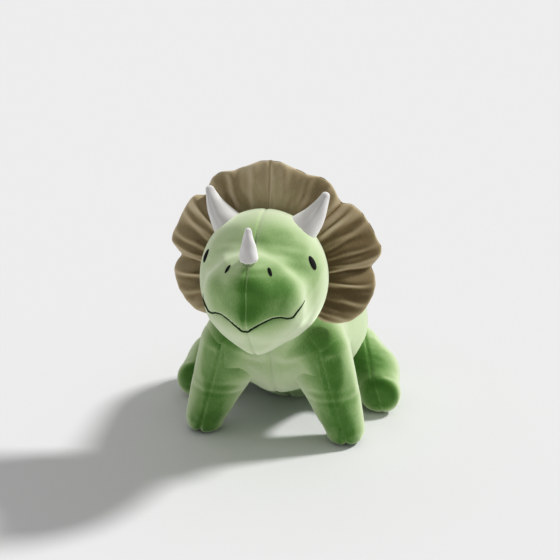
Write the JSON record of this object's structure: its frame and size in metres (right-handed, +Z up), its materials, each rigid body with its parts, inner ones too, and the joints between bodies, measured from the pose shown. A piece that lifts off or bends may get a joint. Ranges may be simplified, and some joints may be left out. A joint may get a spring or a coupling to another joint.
{
  "type": "stuffed dinosaur",
  "caption": "Sitting velvet stuffed dinosaur with a scalloped neck frill, brow and nose horns, and sewn-on legs and tail that flex at their seams.",
  "frame": {"origin": "on the floor, under the middle of the toy's bounding box", "axes": "+Z up, the toy faces -Y, +X is its own left side"},
  "size_m": [0.2396, 0.3758, 0.293],
  "materials": {
    "velvet_green": "short pile",
    "velvet_brown": "short pile",
    "fleece_white": "smooth fleece",
    "thread_black": "satin stitch",
    "thread_dark_green": "embroidery thread",
    "fibre_white": "loose fibre"
  },
  "bodies": {
    "torso": {"back_panel_left": "velvet_green", "back_panel_right": "velvet_green", "belly_panel_left": "velvet_green", "belly_panel_right": "velvet_green", "torso_filling": "fibre_white"},
    "neck": {"neck_pad": "velvet_green"},
    "head": {"head_panel_left": "velvet_green", "head_panel_right": "velvet_green", "jaw_panel": "velvet_green", "head_filling": "fibre_white", "frill_front_panel": "velvet_brown", "frill_back_panel": "velvet_brown", "frill_batting": "fibre_white", "brow_horn_left": "fleece_white", "brow_horn_right": "fleece_white", "nose_horn": "fleece_white", "brow_horn_left_filling": "fibre_white", "brow_horn_right_filling": "fibre_white", "nose_horn_filling": "fibre_white", "eye_left": "thread_black", "eye_right": "thread_black", "nostril_left": "thread_black", "nostril_right": "thread_black", "mouth_thread": "thread_dark_green"},
    "front_leg_left": {"front_leg_left_outer_panel": "velvet_green", "front_leg_left_inner_panel": "velvet_green", "front_leg_left_filling": "fibre_white"},
    "hind_leg_left": {"hind_leg_left_outer_panel": "velvet_green", "hind_leg_left_inner_panel": "velvet_green", "hind_leg_left_filling": "fibre_white"},
    "front_leg_right": {"front_leg_right_outer_panel": "velvet_green", "front_leg_right_inner_panel": "velvet_green", "front_leg_right_filling": "fibre_white"},
    "hind_leg_right": {"hind_leg_right_outer_panel": "velvet_green", "hind_leg_right_inner_panel": "velvet_green", "hind_leg_right_filling": "fibre_white"},
    "tail": {"tail_left_panel": "velvet_green", "tail_right_panel": "velvet_green", "tail_filling": "fibre_white"}
  },
  "joints": [
    {"name": "head_turn", "type": "hinge", "parent": "torso", "child": "neck", "pos_m": [0, -0.09903, 0.19], "axis": [0, 0, 1], "range_deg": [-10, 10], "stiffness_Nm_per_rad": 2.5},
    {"name": "head_nod", "type": "hinge", "parent": "neck", "child": "head", "pos_m": [0, -0.09903, 0.19], "axis": [1, 0, 0], "range_deg": [-7, 7], "stiffness_Nm_per_rad": 4},
    {"name": "shoulder_left", "type": "hinge", "parent": "torso", "child": "front_leg_left", "pos_m": [0.05, -0.04003, 0.098], "axis": [1, 0, 0], "range_deg": [-14, 10], "stiffness_Nm_per_rad": 2.5},
    {"name": "shoulder_right", "type": "hinge", "parent": "torso", "child": "front_leg_right", "pos_m": [-0.05, -0.04003, 0.098], "axis": [1, 0, 0], "range_deg": [-14, 10], "stiffness_Nm_per_rad": 2.5},
    {"name": "hip_left", "type": "hinge", "parent": "torso", "child": "hind_leg_left", "pos_m": [0.064, 0.07197, 0.048], "axis": [0.94, 0, -0.3412], "range_deg": [-14, 5], "stiffness_Nm_per_rad": 2.5},
    {"name": "hip_right", "type": "hinge", "parent": "torso", "child": "hind_leg_right", "pos_m": [-0.064, 0.07197, 0.048], "axis": [0.94, 0, 0.3412], "range_deg": [-14, 5], "stiffness_Nm_per_rad": 2.5},
    {"name": "tail_wag", "type": "hinge", "parent": "torso", "child": "tail", "pos_m": [0, 0.14397, 0.046], "axis": [0, 0.5327, 0.8463], "range_deg": [-14, 14], "stiffness_Nm_per_rad": 0.6}
  ]
}
